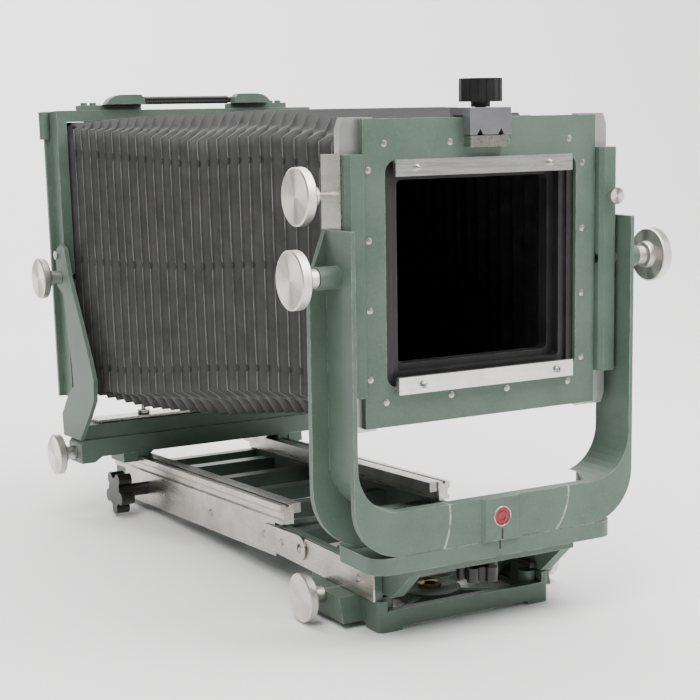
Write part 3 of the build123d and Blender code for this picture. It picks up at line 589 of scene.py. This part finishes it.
def bellows(look):
    # one piece between each two standards
    row, x, y, z, crest, dentAndPaintedShade, meets = bellowsGrid(look)
    points = drooped(x, y, z, look)
    # a flat flange closes the tube onto the lens frame
    centre = points[0].mean(axis=0)
    inner = points[0] - np.sign(points[0] - centre) * np.array([look["flange"], 0, look["flange"]])
    for k, (first, second) in enumerate(zip(look["chain"][:-1], look["chain"][1:])):
        keep = (row >= meets[k]) & (row <= meets[k + 1])
        rows, marks, crests = points[keep], dentAndPaintedShade[keep], crest[keep]
        if k == 0:
            rows = np.concatenate([inner[None], rows])
            marks = np.concatenate([marks[:1] * 0, marks])
            crests = np.concatenate([crests[:1] * 0, crests])
        piece = gridMesh(f"bellowsFolds{k + 1}", rows, finishes["leather"], wrap=True)
        # crest also places the painted shadow beside each fold line; the second attribute carries the dents'
        # painted shade
        for key, values in (("crest", crests), ("dentAndPaintedShade", marks)):
            layer = piece.data.attributes.new(key, "FLOAT", "POINT")
            layer.data.foreach_set("value", values.reshape(-1).astype(np.float32))
        near, far = points[keep][0], points[keep][-1]
        lean = (leanOf(far) + leanOf(near)) / 2
        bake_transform(piece)
        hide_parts("bellows")
        skin = piece.modifiers.new("leatherThickness", "SOLIDIFY")
        skin.thickness = look["leather"]
        skin.offset = -1
        skin.use_rim = False
        piece.data.materials.append(lining)
        skin.material_offset = 1
    print("bellows in", len(look["halfPleats"]), "pieces,", points.shape[0] * points.shape[1], "points")


bellows(bellowsLook)


def studio(look):
    # a pale floor that curves up into a backdrop: straight, then a quarter circle, then straight
    reach, bend, wall = look["reach"], look["bend"], look["wall"]
    turn = np.linspace(0, np.pi / 2, look["bendRows"])
    back = np.concatenate([[-reach], look["back"] + bend * np.sin(turn), [look["back"] + bend]])
    rise = np.concatenate([[0], bend * (1 - np.cos(turn)), [bend + wall]])
    across = np.array([-reach, reach])
    points = np.zeros((len(back), 2, 3))
    angle = math.radians(look["turned"])
    points[..., 0] = across[None] * math.cos(angle) - back[:, None] * math.sin(angle)
    points[..., 1] = across[None] * math.sin(angle) + back[:, None] * math.cos(angle)
    points[..., 2] = rise[:, None]
    material, tree, shader = newMaterial("paperSweep", Roughness=0.9)
    tone = mixOf(tree, noiseOf(tree, placeOf(tree), 2.0), look["tone"], look["toneHigh"])
    tree.links.new(tone, shader.inputs["Base Color"])
    sweep = gridMesh("paperSweep", points, material)


studio({"reach": 6.0, "bend": 1.2, "bendRows": 24, "wall": 4.0, "back": 1.3, "turned": -29.56,
        "tone": (0.93, 0.93, 0.925, 1), "toneHigh": (0.95, 0.95, 0.945, 1)})


def softLight(name, look):
    lamp = bpy.data.lights.new(name, "AREA")
    lamp.shape = "RECTANGLE"
    lamp.size, lamp.size_y = look["size"]
    lamp.energy = look["power"]
    lamp.color = look["colour"]
    shown = bpy.data.objects.new(name, lamp)
    bpy.context.scene.collection.objects.link(shown)
    place, aim = Vector(look["place"]), Vector(look.get("aim", (0, 0, 0.2)))
    turn = (aim - place).to_track_quat("-Z", "Y").to_matrix().to_4x4()
    shown.matrix_world = Matrix.Translation(place) @ turn


lightLooks = {
    "keySoftbox": {"place": (-1.3, -1.1, 2.1), "size": (1.4, 1.4), "power": 40, "colour": (1, 0.985, 0.96)},
    "fillSoftbox": {"place": (2.4, -1.8, 1.3), "size": (1.6, 1.6), "power": 20, "colour": (1, 1, 1)},
    "topSoftbox": {"place": (0.3, -0.2, 2.2), "size": (2.0, 2.0), "power": 74, "colour": (1, 1, 1)},
    "panelSoftbox": {"place": (0.45, -0.85, 1.05), "size": (0.5, 0.3), "power": 8.0, "colour": (1, 1, 1)},
    "backdropLight": {"place": (-0.6, 1.6, 2.4), "size": (2.0, 1.0), "power": 105, "colour": (1, 1, 1),
                      "aim": (1.6, 3.2, 0.6)},
}
for name, look in lightLooks.items():
    softLight(name, look)


def room(look):
    world = bpy.data.worlds.new("paleRoom")
    world.use_nodes = True
    background = world.node_tree.nodes["Background"]
    background.inputs["Color"].default_value = look["colour"]
    background.inputs["Strength"].default_value = look["strength"]
    bpy.context.scene.world = world


room({"colour": (0.92, 0.93, 0.94, 1), "strength": 0.26})
print("studio and", len(lightLooks), "lights in place")

viewLook = {"aim": (0.0256, -0.0213, 0.1754), "distance": 1.40, "azimuth": -29.5598, "elevation": 8.6489,
            "roll": -0.8467, "lens": 83.06}


def placeCamera(look):
    a, e, r = (math.radians(look[key]) for key in ("azimuth", "elevation", "roll"))
    back = Vector((math.sin(a) * math.cos(e), -math.cos(a) * math.cos(e), math.sin(e)))
    right = Vector((math.cos(a), math.sin(a), 0))
    up = back.cross(right)
    acrossAxis = right * math.cos(r) + up * math.sin(r)
    upAxis = up * math.cos(r) - right * math.sin(r)
    lensData = bpy.data.cameras.new("portraitLens")
    lensData.sensor_width = 36.0
    lensData.lens = look["lens"]
    shown = bpy.data.objects.new("portraitLens", lensData)
    bpy.context.scene.collection.objects.link(shown)
    turn = Matrix((acrossAxis, upAxis, back)).transposed().to_4x4()
    shown.matrix_world = Matrix.Translation(Vector(look["aim"]) + back * look["distance"]) @ turn
    bpy.context.scene.camera = shown


placeCamera(viewLook)
